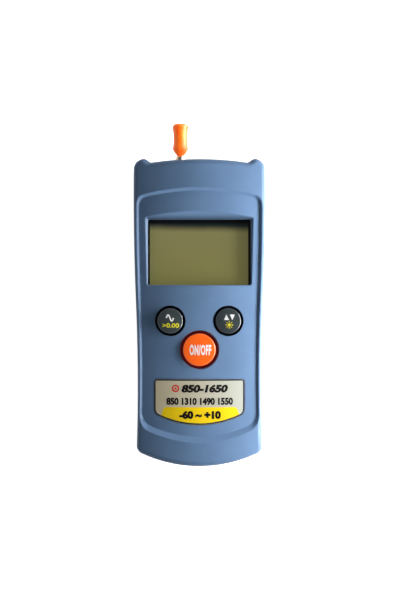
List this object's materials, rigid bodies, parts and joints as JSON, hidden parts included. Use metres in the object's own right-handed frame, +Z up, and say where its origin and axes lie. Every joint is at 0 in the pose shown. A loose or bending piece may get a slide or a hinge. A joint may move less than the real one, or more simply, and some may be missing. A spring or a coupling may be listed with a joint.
{
  "type": "optical power meter",
  "caption": "Handheld fibre optic power meter in a blue-grey two-part case, with a display, round keys and a capped fibre port.",
  "frame": {"origin": "middle of the rear case's flat rest face", "axes": "+X right across the front, +Y towards the fibre port, +Z up through the display"},
  "size_m": [0.055, 0.1448, 0.0277],
  "materials": {
    "case_plastic": "fine matt moulding grain",
    "window_acrylic": "clear, polished",
    "display_glass": "olive liquid-crystal panel",
    "black_frame": "matt",
    "diffuser": "milky",
    "black_rubber": "soft matt",
    "board_green": "solder mask",
    "key_dark": "semi gloss",
    "key_orange": "semi gloss",
    "switch_black": "matt",
    "label_metal": "printed foil",
    "nickel": "satin nickel plate",
    "ceramic": "polished zirconia",
    "cap_orange": "soft translucent plastic",
    "cell_can": "plain sleeve",
    "spring_metal": "bright plate",
    "chip_black": "matt",
    "part_metal": "satin"
  },
  "bodies": {
    "case": {"front_case": "case_plastic", "rear_case": "case_plastic", "label_plate": "label_metal", "main_board": "board_green", "case_screws": "spring_metal", "board_screws": "spring_metal", "switch_bases": "switch_black", "battery_1": "cell_can", "battery_2": "cell_can", "battery_3": "cell_can", "display_lens": "window_acrylic", "lens_gasket": "black_rubber", "lcd_glass": "display_glass", "backlight_panel": "diffuser", "zebra_strip": "black_rubber", "lcd_frame": "black_frame", "contact_positive": "spring_metal", "contact_link_upper": "spring_metal", "contact_link_lower": "spring_metal", "contact_negative": "spring_metal", "port_body": "nickel", "ferrule_sleeve": "ceramic", "port_nut": "nickel", "photodiode": "nickel", "microcontroller": "chip_black", "amplifier_chips": "chip_black", "shield_can": "spring_metal", "buzzer": "chip_black", "crystal": "part_metal", "capacitor": "part_metal"},
    "key_left": {"key_left": "key_dark", "plunger_left": "switch_black"},
    "key_right": {"key_right": "key_dark", "plunger_right": "switch_black"},
    "key_power": {"key_power": "key_orange", "plunger_power": "switch_black"},
    "battery_door": {"battery_door": "case_plastic"},
    "dust_cap": {"dust_cap": "cap_orange"}
  },
  "joints": [
    {"name": "key_left_press", "type": "slide", "parent": "case", "child": "key_left", "axis": [0, 0, -1], "range_m": [0, 0.0005], "stiffness_N_per_m": 300},
    {"name": "key_right_press", "type": "slide", "parent": "case", "child": "key_right", "axis": [0, 0, -1], "range_m": [0, 0.0005], "stiffness_N_per_m": 300},
    {"name": "key_power_press", "type": "slide", "parent": "case", "child": "key_power", "axis": [0, 0, -1], "range_m": [0, 0.0005], "stiffness_N_per_m": 300},
    {"name": "battery_door_slide", "type": "slide", "parent": "case", "child": "battery_door", "axis": [0, -1, 0], "range_m": [0, 0.058]},
    {"name": "dust_cap_pull", "type": "slide", "parent": "case", "child": "dust_cap", "axis": [0, 1, 0], "range_m": [0, 0.03]}
  ]
}
